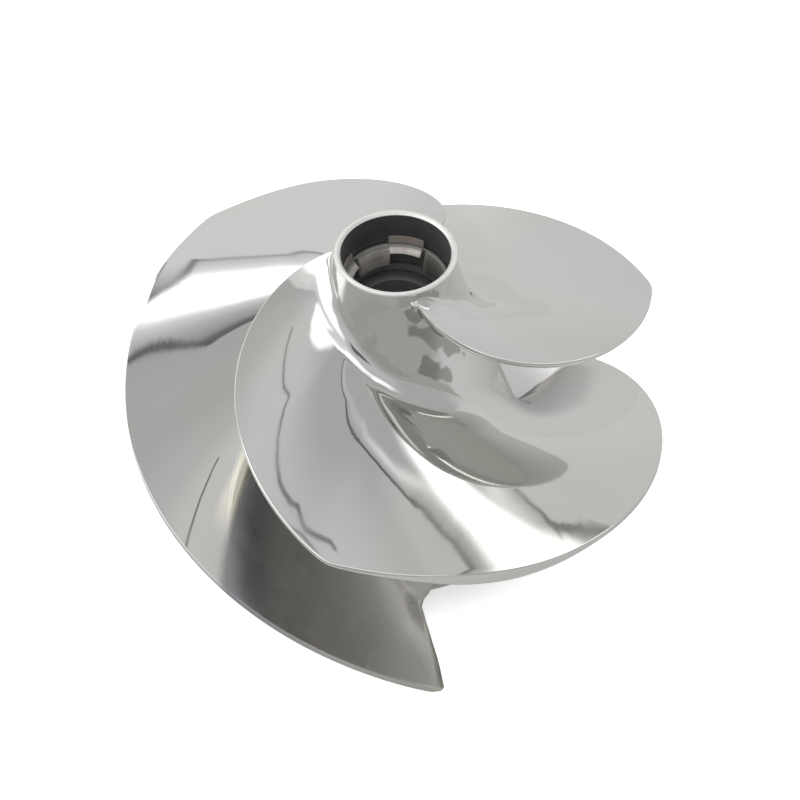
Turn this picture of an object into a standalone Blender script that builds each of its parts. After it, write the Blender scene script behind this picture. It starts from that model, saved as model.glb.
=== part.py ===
"""Mixed-flow pump impeller: a hollow flared hub with three long swept blades, in metres, +Z up.

The origin is on the shaft axis in the rear plane, where the hub rim and the trailing edges end.
Run with: blender --background --python part.py
"""

from math import atan, cos, hypot, pi, radians, sin

import bmesh
import bpy
from mathutils import Matrix, Vector

# Hub: a straight nose that flares into a cone, open at both ends
TIP_RADIUS = 0.0775
HUB_HEIGHT = 0.0940
NOSE_RADIUS = 0.0164
REAR_RADIUS = 0.0442
NOSE_ROUNDING = 0.09
HUB_WALL = 0.0045
REGISTER_WALL = 0.0040
REGISTER_DEPTH = 0.0050
LIP_CHAMFER = 0.0010
LIP_BEVEL = 0.0003
SEAT_GAP = 0.0003

# Nose bore, with the castellated ring that the drive shaft and the wrench engage
BORE_RADIUS = 0.0147
LUG_TOP_DEPTH = 0.0079
LEDGE_DEPTH = 0.0103
RING_FOOT_DEPTH = 0.0171
RING_BAND_RADIUS = 0.0136
LUG_RADIUS = 0.0123
LUG_FACE = 0.0017
TOOTH_RADIUS = 0.0120
TOOTH_UNDER_LUG_DEG = 0.6
LUG_COUNT = 4
FIRST_LUG_DEG = 57.0
LUG_SPAN_DEG = 41.0
TOOTH_SPAN_DEG = 44.0
SHELF_RADIUS = 0.0132
SHELF_THICKNESS = 0.0025

# Shaft sleeve under the shelf, and the webs that brace it against the hub wall
SLEEVE_BORE_RADIUS = 0.0105
SLEEVE_RADIUS = 0.0145
SLEEVE_REAR = 0.0140
SLEEVE_CHAMFER = 0.0008
WEB_COUNT = 3
WEB_THICKNESS = 0.0040
WEB_REAR = 0.0180
WEB_FRONT = 0.0600

# Blades: each leaves the nose, sweeps out to the tip radius and runs back to the rear plane
BLADE_COUNT = 3
FIRST_BLADE_DEG = -71.5
WRAP = radians(230.3)
EDGE_SWEEP = radians(87.9)
EDGE_POWER = 0.883
EDGE_ROOT_RADIUS = 0.0181
EDGE_BLEND = 0.0012
STEADY_RISE = 0.0517
ENTRY_RISE = 0.0269
RAKE_RISE = 0.0140
RISE_POWER = 5.1

# Hand finish: the leading edges stand proud of the helix, and two blades are higher at the corner
EDGE_LIFT = 0.0012
EDGE_LIFT_FROM = radians(60.0)
CORNER_RAISE = (0.0, 0.0015, 0.0013)
CORNER_AT = radians(110.0)
CORNER_REACH = radians(28.0)

# Blade thickness along the shaft, and the rounding of its edges
ROOT_THICKNESS = 0.0056
TIP_THICKNESS = 0.0023
TIP_THICK_SPOT = 0.0024
THICK_SPOT_AT = radians(120.0)
THICK_SPOT_REACH = radians(26.0)
EDGE_THICKNESS = 0.0016
EDGE_TAPER = 0.0060
TRAILING_LIP = 0.0006
LEADING_NOSE = 0.0012
TIP_NOSE = 0.0003

# Fillets where the blade meets the hub
UPPER_FILLET = 0.0110
LOWER_FILLET = 0.0050
TRAILING_FILLET = 0.0035
TRAILING_FILLET_FROM = 0.8
FILLET_SHARE = 0.42

# Facets
HUB_STEPS = 72
HUB_RINGS = 12
CAVITY_RINGS = 6
SECTOR_STEPS = 6
SLEEVE_STEPS = 36
WEB_STEPS = 4
BLADE_STATIONS = 48
ARC_STEPS = 4
SPAN_STEPS = 4
NOSE_STEPS = 3


def clear_scene():
    for obj in list(bpy.data.objects):
        bpy.data.objects.remove(obj)


def steel(name, colour, roughness):
    material = bpy.data.materials.new(name)
    material.use_nodes = True
    shader = material.node_tree.nodes["Principled BSDF"]
    shader.inputs["Base Color"].default_value = (*colour, 1.0)
    shader.inputs["Roughness"].default_value = roughness
    shader.inputs["Metallic"].default_value = 1.0
    return material


def add_object(name, bm, material, crease_angle=35.0):
    bmesh.ops.recalc_face_normals(bm, faces=bm.faces)
    mesh = bpy.data.meshes.new(name)
    bm.to_mesh(mesh)
    bm.free()
    mesh.shade_smooth()
    mesh.set_sharp_from_angle(angle=radians(crease_angle))
    mesh.materials.append(material)
    obj = bpy.data.objects.new(name, mesh)
    bpy.context.scene.collection.objects.link(obj)
    return obj


def turned(profile, steps, start=0.0, sweep=2.0 * pi):
    """Spins a closed outline of (radius, height) points round the shaft, and caps the ends of a part turn."""
    bm = bmesh.new()
    first = Matrix.Rotation(start, 4, "Z")
    verts = [bm.verts.new(first @ Vector((radius, 0.0, height))) for radius, height in profile]
    edges = [bm.edges.new((verts[i - 1], verts[i])) for i in range(len(verts))]
    whole = sweep > 2.0 * pi - 1e-6
    bmesh.ops.spin(
        bm, geom=verts + edges, axis=(0, 0, 1), cent=(0, 0, 0), angle=sweep, steps=steps, use_merge=whole
    )
    if not whole:
        bmesh.ops.holes_fill(bm, edges=bm.edges, sides=0)
    return bm


def smooth_step(x):
    x = min(max(x, 0.0), 1.0)
    return x * x * (3.0 - 2.0 * x)


def smooth_min(a, b, width):
    share = min(max(0.5 + 0.5 * (b - a) / width, 0.0), 1.0)
    return b * (1.0 - share) + a * share - width * share * (1.0 - share)


def hub_radius(z):
    """Outer radius of the hub at a height: a hyperbola, straight at the nose and a cone further back."""
    back = 1.0 - z / HUB_HEIGHT
    flare = (hypot(back, NOSE_ROUNDING) - NOSE_ROUNDING) / (hypot(1.0, NOSE_ROUNDING) - NOSE_ROUNDING)
    return NOSE_RADIUS + (REAR_RADIUS - NOSE_RADIUS) * flare


def hub_lean(z, step=1e-5):
    """Angle of the hub's outward normal above the horizontal."""
    return atan((hub_radius(z - step) - hub_radius(z + step)) / (2.0 * step))


def shelf_heights():
    top = HUB_HEIGHT - RING_FOOT_DEPTH - SEAT_GAP
    return top, top - SHELF_THICKNESS


def hub_shell(material):
    """Hollow hub: flared outside, nose bore, shelf for the drive ring, conical cavity and rear register."""
    top = HUB_HEIGHT
    shelf_top, shelf_foot = shelf_heights()
    outside = [(hub_radius(top * i / HUB_RINGS), top * i / HUB_RINGS) for i in range(HUB_RINGS)]
    lip = [
        (NOSE_RADIUS, top - LIP_CHAMFER),
        (NOSE_RADIUS - LIP_BEVEL, top),
        (BORE_RADIUS + LIP_CHAMFER, top),
        (BORE_RADIUS, top - LIP_CHAMFER),
    ]
    shelf = [(BORE_RADIUS, shelf_top), (SHELF_RADIUS, shelf_top), (SHELF_RADIUS, shelf_foot)]
    drop = (shelf_foot - REGISTER_DEPTH) / CAVITY_RINGS
    heights = [shelf_foot - drop * i for i in range(CAVITY_RINGS + 1)]
    cavity = [(hub_radius(z) - HUB_WALL, z) for z in heights]
    register = [(REAR_RADIUS - REGISTER_WALL, REGISTER_DEPTH), (REAR_RADIUS - REGISTER_WALL, 0.0)]
    profile = outside + lip + shelf + cavity + register
    return add_object("hub_shell", turned(profile, HUB_STEPS), material)


def join_into(target, pieces):
    """Unites the pieces with the target, and keeps them as hidden helpers."""
    for piece in pieces:
        piece.hide_render = True
        piece.display_type = "WIRE"
        union = target.modifiers.new("join_" + piece.name, "BOOLEAN")
        union.operation = "UNION"
        union.object = piece
        union.solver = "EXACT"


def drive_ring(material):
    """Ring with sloped lugs standing above its ledge and teeth between them below it."""
    outer = BORE_RADIUS - SEAT_GAP
    ledge, foot = HUB_HEIGHT - LEDGE_DEPTH, HUB_HEIGHT - RING_FOOT_DEPTH
    band = [(outer, foot), (outer, ledge), (RING_BAND_RADIUS, ledge), (RING_BAND_RADIUS, foot)]
    ring = add_object("drive_ring", turned(band, HUB_STEPS), material)
    sunk = (outer - RING_BAND_RADIUS) / 2
    lug = [
        (outer - sunk / 2, ledge - sunk),
        (outer - sunk / 2, HUB_HEIGHT - LUG_TOP_DEPTH),
        (LUG_RADIUS, ledge),
        (LUG_RADIUS, ledge - LUG_FACE),
        (RING_BAND_RADIUS + sunk / 2, ledge - LUG_FACE),
    ]
    tooth = [
        (RING_BAND_RADIUS + sunk, foot + sunk / 4),
        (RING_BAND_RADIUS + sunk, ledge - sunk / 4),
        (TOOTH_RADIUS, ledge - sunk / 4),
        (TOOTH_RADIUS, foot + sunk / 4),
    ]
    lug_span, tooth_span = radians(LUG_SPAN_DEG), radians(TOOTH_SPAN_DEG)
    under_lug = radians(TOOTH_UNDER_LUG_DEG)
    pieces = []
    for i in range(LUG_COUNT):
        start = radians(FIRST_LUG_DEG) + i * 2.0 * pi / LUG_COUNT
        lug_turn = turned(lug, SECTOR_STEPS, start, lug_span)
        tooth_turn = turned(tooth, SECTOR_STEPS, start + lug_span - under_lug, tooth_span + under_lug)
        pieces.append(add_object(f"lug_{i + 1}", lug_turn, material))
        pieces.append(add_object(f"tooth_{i + 1}", tooth_turn, material))
    join_into(ring, pieces)
    return ring


def shaft_sleeve(material):
    """Sleeve with the shaft bore, chamfered at both mouths, hanging below the shelf."""
    front = shelf_heights()[1] - SEAT_GAP
    profile = [
        (SLEEVE_RADIUS, SLEEVE_REAR),
        (SLEEVE_RADIUS, front),
        (SLEEVE_BORE_RADIUS + SLEEVE_CHAMFER, front),
        (SLEEVE_BORE_RADIUS, front - SLEEVE_CHAMFER),
        (SLEEVE_BORE_RADIUS, SLEEVE_REAR + SLEEVE_CHAMFER),
        (SLEEVE_BORE_RADIUS + SLEEVE_CHAMFER, SLEEVE_REAR),
    ]
    return add_object("shaft_sleeve", turned(profile, SLEEVE_STEPS), material)


def sleeve_web(index, material):
    """Flat radial web from the sleeve to the hub wall, its outer edge following the cavity."""
    inner = SLEEVE_RADIUS + SEAT_GAP
    heights = [WEB_REAR + (WEB_FRONT - WEB_REAR) * i / WEB_STEPS for i in range(WEB_STEPS + 1)]
    outline = [(hub_radius(z) - HUB_WALL - SEAT_GAP, z) for z in heights]
    outline += [(inner, WEB_FRONT), (inner, WEB_REAR)]
    bm = bmesh.new()
    face = bm.faces.new([bm.verts.new((radius, -WEB_THICKNESS / 2, z)) for radius, z in outline])
    grown = bmesh.ops.extrude_face_region(bm, geom=[face], use_keep_orig=True)
    moved = [v for v in grown["geom"] if isinstance(v, bmesh.types.BMVert)]
    bmesh.ops.translate(bm, verts=moved, vec=(0.0, WEB_THICKNESS, 0.0))
    turn = Matrix.Rotation(index * 2.0 * pi / WEB_COUNT, 4, "Z")
    bmesh.ops.transform(bm, matrix=turn, verts=bm.verts)
    return add_object(f"sleeve_web_{index + 1}", bm, material)


def edge_radius(angle):
    """Radius of the blade's outer edge: the swept leading edge, then the constant tip radius."""
    reach = (angle / EDGE_SWEEP) ** EDGE_POWER
    swept = EDGE_ROOT_RADIUS + (TIP_RADIUS - EDGE_ROOT_RADIUS) * reach
    return smooth_min(swept, TIP_RADIUS, EDGE_BLEND)


def rake(angle):
    """Rise of the blade from tip to axis, as a height over the tip radius, fading to none at the rear."""
    return RAKE_RISE / TIP_RADIUS * (1.0 - (angle / WRAP) ** RISE_POWER)


def hand_finish(angle, radius, corner):
    """Extra height of the forward face: along the leading edge, and round the blade's own corner."""
    edge = EDGE_LIFT * (1.0 - smooth_step((angle - EDGE_LIFT_FROM) / (EDGE_SWEEP - EDGE_LIFT_FROM)))
    bump = corner * (1.0 - smooth_step(abs(angle - CORNER_AT) / CORNER_REACH))
    return edge + bump * (radius / TIP_RADIUS) ** 3


def face_height(angle, radius, corner):
    """Height of the blade's forward face: a helix that steepens towards the rear, raised at the root."""
    share = angle / WRAP
    tip = STEADY_RISE * (1.0 - share) + ENTRY_RISE * (1.0 - share**RISE_POWER)
    return tip + rake(angle) * (TIP_RADIUS - radius) + hand_finish(angle, radius, corner)


def thickness(angle, radius):
    """Thickness along the shaft: most at the root, less at the tip and least along the leading edge."""
    spot = TIP_THICK_SPOT * (1.0 - smooth_step(abs(angle - THICK_SPOT_AT) / THICK_SPOT_REACH))
    tip = TIP_THICKNESS + spot
    across = (radius - NOSE_RADIUS) / (TIP_RADIUS - NOSE_RADIUS)
    full = ROOT_THICKNESS + (tip - ROOT_THICKNESS) * across
    inward = max(edge_radius(angle) - radius, 0.0)
    taper = 1.0 - inward / (inward + EDGE_TAPER)
    on_edge = 1.0 - smooth_step((angle - EDGE_SWEEP) / THICK_SPOT_REACH)
    return full + (EDGE_THICKNESS - full) * taper * on_edge


def back_height(angle, radius, corner):
    return face_height(angle, radius, corner) - thickness(angle, radius)


def fillet_arc(angle, size, above, corner):
    """Points from the hub to the blade along a fillet, whose place on the hub is found by halving."""
    side = 1.0 if above else -1.0
    surface = face_height if above else back_height
    slope = atan(rake(angle))
    low, high = -2.0 * size, HUB_HEIGHT + size
    for _ in range(40):
        z = (low + high) / 2
        lean = hub_lean(z)
        centre = (hub_radius(z) + SEAT_GAP + size * cos(lean), z + size * sin(lean))
        clear = side * (centre[1] - surface(angle, centre[0], corner)) * cos(slope) > size
        if clear == above:
            high = z
        else:
            low = z
    first = pi + lean
    last = (1.5 * pi if above else 0.5 * pi) - slope
    turns = [first + (last - first) * i / ARC_STEPS for i in range(ARC_STEPS + 1)]
    return [(centre[0] + size * cos(turn), centre[1] + size * sin(turn)) for turn in turns]


def section(angle, corner):
    """Closed outline of the blade in the plane at this angle, as (radius, height) points."""
    rim = edge_radius(angle)
    room = rim - hub_radius(face_height(angle, rim, corner)) - SEAT_GAP
    late = smooth_step((angle / WRAP - TRAILING_FILLET_FROM) / (1.0 - TRAILING_FILLET_FROM))
    upper_size = UPPER_FILLET + (TRAILING_FILLET - UPPER_FILLET) * late
    upper = fillet_arc(angle, smooth_min(upper_size, FILLET_SHARE * room, LEADING_NOSE), True, corner)
    lower = fillet_arc(angle, smooth_min(LOWER_FILLET, FILLET_SHARE * room, LEADING_NOSE), False, corner)
    squared = smooth_step((angle - EDGE_SWEEP) / THICK_SPOT_REACH)
    nose = min(LEADING_NOSE + (TIP_NOSE - LEADING_NOSE) * squared, FILLET_SHARE * room / 2)
    end = rim - nose
    points = list(upper)
    for i in range(1, SPAN_STEPS + 1):
        radius = upper[-1][0] + (end - upper[-1][0]) * i / SPAN_STEPS
        points.append((radius, face_height(angle, radius, corner)))
    middle = (face_height(angle, end, corner) + back_height(angle, end, corner)) / 2
    half = thickness(angle, end) / 2
    for i in range(1, NOSE_STEPS):
        turn = pi * (0.5 - i / NOSE_STEPS)
        points.append((end + nose * cos(turn), middle + half * sin(turn)))
    face_count = len(points) - (NOSE_STEPS - 1) // 2
    for i in range(SPAN_STEPS):
        radius = end + (lower[-1][0] - end) * i / SPAN_STEPS
        points.append((radius, back_height(angle, radius, corner)))
    points += reversed(lower)
    floors = [TRAILING_LIP] * face_count + [0.0] * (len(points) - face_count)
    return [(radius, max(z, floor)) for (radius, z), floor in zip(points, floors)]


def blade(index, material):
    """One blade: its sections joined in order, with a cap at each end."""
    bm = bmesh.new()
    rings = []
    for i in range(BLADE_STATIONS + 1):
        angle = WRAP * i / BLADE_STATIONS
        outline = section(angle, CORNER_RAISE[index])
        rings.append([bm.verts.new((r * cos(angle), r * sin(angle), z)) for r, z in outline])
    for ring, following in zip(rings, rings[1:]):
        for i in range(len(ring)):
            bm.faces.new((ring[i - 1], ring[i], following[i], following[i - 1]))
    bm.faces.new(rings[0])
    bm.faces.new(rings[-1])
    turn = Matrix.Rotation(radians(FIRST_BLADE_DEG) + index * 2.0 * pi / BLADE_COUNT, 4, "Z")
    bmesh.ops.transform(bm, matrix=turn, verts=bm.verts)
    return add_object(f"blade_{index + 1}", bm, material)


def main():
    clear_scene()
    polished = steel("polished_steel", (0.74, 0.74, 0.72), 0.10)
    machined = steel("machined_steel", (0.55, 0.52, 0.49), 0.35)
    cast = steel("cast_steel", (0.30, 0.30, 0.29), 0.60)
    hub_shell(polished)
    drive_ring(machined)
    shaft_sleeve(machined)
    for i in range(WEB_COUNT):
        sleeve_web(i, cast)
    for i in range(BLADE_COUNT):
        blade(i, polished)


main()
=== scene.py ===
"""Looks of a polished mixed-flow pump impeller: casting, bore fittings, metals, floor, lights and camera.

Everything is in metres, +Z up along the shaft, with the origin in the rear plane.
"""

from functools import cached_property
from math import cos, pi, radians, sin

import bpy
import numpy as np
from bpy.props import FloatProperty, FloatVectorProperty, IntProperty, PointerProperty
from mathutils import Matrix, Vector


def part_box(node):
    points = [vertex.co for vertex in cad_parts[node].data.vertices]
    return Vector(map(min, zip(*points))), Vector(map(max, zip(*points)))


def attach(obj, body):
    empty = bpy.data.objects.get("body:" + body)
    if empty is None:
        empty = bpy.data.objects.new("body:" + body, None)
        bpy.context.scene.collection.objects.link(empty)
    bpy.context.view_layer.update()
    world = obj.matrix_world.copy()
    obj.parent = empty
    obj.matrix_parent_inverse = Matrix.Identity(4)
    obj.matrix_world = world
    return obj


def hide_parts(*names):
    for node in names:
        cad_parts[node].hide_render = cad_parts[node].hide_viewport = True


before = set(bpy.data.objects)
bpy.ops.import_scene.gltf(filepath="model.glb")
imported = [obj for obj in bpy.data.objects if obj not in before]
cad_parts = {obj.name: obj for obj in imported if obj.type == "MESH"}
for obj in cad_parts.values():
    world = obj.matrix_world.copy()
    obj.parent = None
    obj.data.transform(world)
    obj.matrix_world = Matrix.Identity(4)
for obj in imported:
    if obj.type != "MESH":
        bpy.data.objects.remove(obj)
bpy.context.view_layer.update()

bl_info = {
    "name": "Pump impeller",
    "version": (1, 0, 0),
    "blender": (4, 5, 0),
    "location": "3D View > Sidebar > Impeller",
    "description": "Builds a polished mixed-flow pump impeller with its bore fittings and a small studio",
    "category": "Add Mesh",
}

HUB_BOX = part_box("hub_shell")
BLADE_NODES = ("blade_1", "blade_2", "blade_3")
WEB_NODES = ("sleeve_web_1", "sleeve_web_2", "sleeve_web_3")

# Casting
BLADE_APART = 2.0 * pi / 3.0
CORNER_RAISE = (0.0, 0.0015, 0.0013)  # how much higher each blade's corner stands
LIP_STRIP = 0.0016  # bare strip of the hub below the nose lip
SOFT = 0.0012  # width within which two reaches blend
TIP_CORNER = 0.0012  # length of the rounded corner between rim and trailing edge
START_TURN = radians(6.0)  # angle within which a blade grows out of the hub
END_TURN = radians(8.0)  # angle within which the trailing edge gets its waves
FILLET_STEPS, FACE_STEPS, NOSE_STEPS, SUNK_STEPS = 22, 34, 6, 10
HALVINGS = 40
ARC_STEPS = 7
# share of the height, radians per metre along x and y, phase
POLISH_WAVES = (
    (1.0, 150.0, 70.0, 1.0),
    (0.8, -110.0, 190.0, 2.3),
    (0.35, 330.0, -240.0, 1.1),
    (0.25, 190.0, 410.0, -1.0),
)
# Nooks of painted shade below each leading edge: angle behind the leading edge, height, reach as an angle, half the
# height, fall per radian
NOOKS = (
    (-0.080, 0.0866, 0.16, 0.0020, 0.010),
    (0.27, 0.0768, 0.32, 0.0034, 0.015),
    (0.13, 0.0692, 0.15, 0.0032, 0.014),
)

# Drive ring: (distance from the inner radius, share of the depth), for a tooth as a share of its width
LUG_DROP = 0.0004  # ledge to the height from which a lug's lower part is measured
TOOTH = ((0.75, 0.0), (0.52, 0.07), (0.31, 0.22), (0.13, 0.43), (0.03, 0.68), (0.0, 0.84), (0.0, 0.94), (0.12, 1.0))
BAND = ((0.0003, 0.0), (0.0001, 0.03), (0.00003, 0.14), (0.0, 0.3), (0.0, 0.48), (0.0, 0.66), (0.0, 0.84), (0.0, 1.0))

# Studio, on a level ceiling one unit up: (x, y) of edges, or (place, brightness) of panels
FRONT_EDGE = (
    (-0.7, 0.25), (-0.35, -0.02), (-0.05, -0.35), (0.05, -0.25), (0.12, -0.165), (0.20, -0.095),
    (0.25, -0.085), (0.40, -0.15), (0.50, -0.19), (0.60, -0.33), (0.75, -0.45), (0.90, -0.60),
)
FRONT_NEAR = ((-0.6, 0.8), (-0.1, 0.8), (0.05, 1.5), (0.3, 1.6), (0.65, 1.5), (0.8, 0.7))
FRONT_FAR = (
    (-0.6, 1.7), (-0.35, 1.6), (-0.25, 1.2), (-0.15, 0.85), (0.1, 0.8),
    (0.35, 0.95), (0.5, 1.5), (0.65, 1.4), (0.8, 0.7),
)
LEFT_PANEL = (
    (0.205, 0.17), (0.216, 0.17), (0.228, 0.24), (0.242, 0.34), (0.257, 0.41), (0.288, 0.49), (0.323, 0.57),
    (0.361, 0.74), (0.381, 0.82), (0.402, 1.08), (0.424, 1.5), (0.47, 2.3), (0.70, 2.3), (0.76, 1.35), (0.80, 0.98),
    (0.86, 0.78), (0.90, 0.72), (0.925, 0.42), (0.935, 0.42),
)
CABLE = ((-0.02, -0.09), (0.09, 0.06), (0.16, 0.08), (0.235, 0.15), (0.165, 0.24))


# ---------------------------------------------------------------- sizes and colours


def words(attribute):
    """The name of an attribute as plain words."""
    return attribute.replace("_", " ").capitalize()


def named(group):
    """Makes the properties of a group from its rows, each named by the words of its attribute."""
    group.__annotations__ = {attribute: row(words(attribute)) for attribute, row in group.__annotations__.items()}
    return group


def length(description, default):
    return lambda name: FloatProperty(
        name=name, description=description, default=default, min=0.0, unit="LENGTH", subtype="DISTANCE", precision=5
    )


def turn(description, degrees):
    return lambda name: FloatProperty(name=name, description=description, default=radians(degrees), subtype="ANGLE")


def plain(description, default):
    return lambda name: FloatProperty(name=name, description=description, default=default, precision=3)


def count(description, default):
    return lambda name: IntProperty(name=name, description=description, default=default, min=1)


def colour(description, default):
    return lambda name: FloatVectorProperty(
        name=name, description=description, default=default, size=3, min=0.0, max=1.0, subtype="COLOR"
    )


@named
class HubSizes(bpy.types.PropertyGroup):
    """Sizes of the flared hub and its bores"""

    height: length("Rear plane to nose lip", round(HUB_BOX[1].z, 5))
    nose_radius: length("Outside radius at the nose lip", 0.0164)
    rear_radius: length("Outside radius at the rear rim", 0.0442)
    nose_rounding: plain("How slowly the straight nose turns into the cone", 0.09)
    wall: length("Wall of the hub round its cavity", 0.0045)
    register_wall: length("Wall of the rear rim", 0.0040)
    register_depth: length("Depth of the turned register in the rear rim", 0.0050)
    bore_radius: length("Radius of the nose bore", 0.0147)
    lip_chamfer: length("Chamfer at the mouth of the nose bore", 0.0007)
    lip_rounding: length("Rounded outer edge of the nose lip", 0.0007)
    shelf_depth: length("Nose lip to the shelf that carries the drive ring", 0.0174)
    shelf_radius: length("Radius of the hole in the shelf", 0.0132)
    shelf_thickness: length("Thickness of the shelf", 0.0025)
    steps: count("Facets round the shaft", 420)


@named
class BladeSizes(bpy.types.PropertyGroup):
    """Sizes of one blade, of the hand finish that makes the three a little different, and of where painted shade lies
    on them
    """

    tip_radius: length("Radius of the blade tips", 0.0775)
    first: turn("Where the first blade starts", -71.5)
    wrap: turn("Angle that a blade winds round the shaft", 230.3)
    edge_sweep: turn("Angle over which the leading edge reaches the tip radius", 87.9)
    edge_power: plain("Shape of the leading edge's sweep", 0.883)
    edge_root_radius: length("Radius at which the leading edge leaves the hub", 0.0181)
    edge_blend: length("Rounding between leading edge and tip", 0.0012)
    steady_rise: length("Even part of the blade's climb", 0.0517)
    entry_rise: length("Part of the climb that comes at the rear", 0.0269)
    rake_rise: length("How much higher the root is than the tip", 0.0140)
    rise_power: plain("How late the steep part of the climb comes", 5.1)
    edge_lift: length("How far the leading edge stands above the helix", 0.0012)
    edge_lift_from: turn("Where that lift starts to fade", 60.0)
    corner_at: turn("Middle of the raised corner of the rim", 110.0)
    corner_reach: turn("Reach of the raised corner to each side", 28.0)
    root_thickness: length("Thickness at the hub", 0.0056)
    tip_thickness: length("Thickness at the rim", 0.0023)
    thick_spot: length("Extra thickness of the rim behind the corner", 0.0024)
    thick_spot_at: turn("Middle of the thick spot", 120.0)
    thick_spot_reach: turn("Reach of the thick spot", 26.0)
    edge_thickness: length("Thickness of the leading edge", 0.0016)
    edge_taper: length("Width over which the blade thins to its edge", 0.0060)
    rear_lip: length("Thickness left at the trailing edge", 0.00025)
    leading_round: length("Rounding of the leading edge", 0.0008)
    rim_round: length("Rounding of the rim's two edges", 0.0003)
    upper_fillet: length("Reach of the fillet on the forward face", 0.0100)
    lower_fillet: length("Reach of the fillet on the back", 0.0062)
    rear_fillet: length("Reach of the forward fillet at the trailing edge", 0.0042)
    start_fillet: length("Reach of the forward fillet behind the leading edge", 0.0045)
    fillet_from: turn("Where the forward fillet starts to grow", 90.0)
    fillet_to: turn("Where the forward fillet is fully grown", 150.0)
    sunk: length("How far the root reaches into the hub wall", 0.0006)
    wave_height: length("Height of the waves that hand polishing leaves", 0.000006)
    # Painted shade: the blades are darkened from this slanting line on, where they are also duller
    dull_from: turn("Where the duller polish would start at the shaft", 137.5)
    dull_slant: turn("How much later it starts at the rim", 44.5)
    # The duller polish and its painted shade start this much later on the third blade
    last_delay: turn("How much further in the third blade is polished", 58.0)
    stations: count("Sections along the blade", 420)


@named
class RingSizes(bpy.types.PropertyGroup):
    """Sizes of the castellated drive ring"""

    outer_radius: length("Outside of the ring", 0.0144)
    band_radius: length("Inside of the plain band", 0.0136)
    top_depth: length("Nose lip to the top of the lugs", 0.0079)
    ledge_depth: length("Nose lip to the ledge", 0.0103)
    foot_depth: length("Nose lip to the ring's foot", 0.0171)
    lug_radius: length("Inner radius of the lugs", 0.01185)
    lug_face: length("Height of a lug's lower part", 0.0022)
    tooth_radius: length("Inner radius of the teeth", 0.0120)
    lugs: count("Number of lugs, and of teeth", 4)
    first: turn("Where the first lug starts", 57.0)
    lug_span: turn("Angle that a lug takes", 41.0)
    tooth_span: turn("Angle that a tooth takes", 44.0)
    side_blend: turn("Angle over which one outline turns into the next", 0.9)
    step_height: length("Fall of the small ledge across a lug's slope", 0.00006)
    edge_round: length("Rounding of the ring's edges", 0.00018)


@named
class SleeveSizes(bpy.types.PropertyGroup):
    """Sizes of the shaft sleeve and its webs"""

    bore_radius: length("Radius of the shaft bore", 0.0105)
    outer_radius: length("Outside of the sleeve", 0.0145)
    rear: length("Height of the sleeve's rear face", 0.0140)
    front_gap: length("Gap between the sleeve and the shelf", 0.0003)
    chamfer: length("Chamfer at both mouths", 0.0008)
    steps: count("Facets round the shaft", 128)
    thread_pitch: length("Pitch of the shaft thread", 0.0015)
    thread_depth: length("Depth of the shaft thread", 0.0008)
    thread_rear: length("Height at which the thread starts", 0.0170)
    thread_front: length("Height at which the thread runs out", 0.0480)
    web_thickness: length("Thickness of a web", 0.0040)
    web_rear: length("Height of a web's rear edge", 0.0180)
    web_front: length("Height of a web's front edge", 0.0600)
    web_fillet: length("Fillet of a web at the sleeve and at the hub wall", 0.0030)


@named
class Finishes(bpy.types.PropertyGroup):
    """Colours of the metals, and the depth of their marks"""

    polished: colour("Mirror-polished outside of the casting", (0.735, 0.735, 0.72))
    polished_warm: colour("Slightly warmer patches of the polish", (0.715, 0.71, 0.68))
    # Painted shade: the next two darken the duller steel between the blades, most of all just behind the polished
    # part
    polished_dull_shaded: colour("Steel between the blades, out of the wheel's reach", (0.585, 0.57, 0.535))
    polished_painted_shade: colour("The darkest of that steel, just behind the polished part", (0.355, 0.36, 0.375))
    # Painted highlight: a cream sheen painted along the border of the duller steel
    painted_cream_highlight: colour("Cream sheen where the wheel turned back", (1.0, 0.965, 0.87))
    # Painted shade: darkens the nooks below the nose
    skin: colour("Darker flecks left in the nooks below the nose", (0.34, 0.335, 0.32))
    dull_roughness: plain("Roughness added out of the wheel's reach", 0.20)
    dimples: length("Height of the polish's small dimples", 0.0000105)
    ground: length("Height of the uneven grinding round the nose", 0.00050)
    lip: colour("Bright turned lip", (0.985, 0.985, 0.955))
    turned: colour("Darker grooves of turned faces", (0.62, 0.60, 0.57))
    # Painted shade: the nose bore wall is darkened as the shade inside the bore
    bore: colour("Blackened bore wall", (0.27, 0.27, 0.29))
    bore_rubbed: colour("Lighter places of the bore wall", (0.40, 0.40, 0.41))
    blasted: colour("Rough inside of the casting", (0.36, 0.36, 0.345))
    scale: colour("Darker scale on the rough inside", (0.20, 0.18, 0.16))
    # Painted shade: the next two darken the faces below the drive ring and the wall of the deep bore
    soot: colour("Oily faces below the drive ring", (0.105, 0.108, 0.114))
    deep: colour("Oily wall of the deep bore", (0.26, 0.265, 0.28))
    ring: colour("Drive ring", (0.80, 0.75, 0.69))
    ring_bright: colour("Bright tool marks on the drive ring", (1.0, 0.97, 0.90))
    ring_brown: colour("Brown stain on the drive ring", (0.40, 0.35, 0.305))
    # Painted shade: one side of the drive ring and the band below its lugs
    ring_shaded: colour("Oily dark side of the drive ring", (0.21, 0.22, 0.205))


@named
class StudioSizes(bpy.types.PropertyGroup):
    """Floor, lights and camera"""

    floor_colour: colour("Pale floor", (0.80, 0.80, 0.80))
    # Painted shadow on the floor in front of the rotor
    floor_painted_shadow: colour("Shaded floor in front of the rotor", (0.50, 0.50, 0.49))
    floor_lift: plain("Light added where the camera sees the floor", 0.92)
    target_height: length("Height that the camera looks at", 0.05425)
    distance: length("Camera to target", 0.4596)
    elevation: turn("Camera above the horizon", 47.199)
    roll: turn("Turn of the camera round its own axis", -0.568)
    lens: plain("Focal length in millimetres", 73.19)
    shift_x: plain("Sideways shift of the frame", 0.0041)
    shift_y: plain("Upward shift of the frame", -0.0588)


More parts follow.
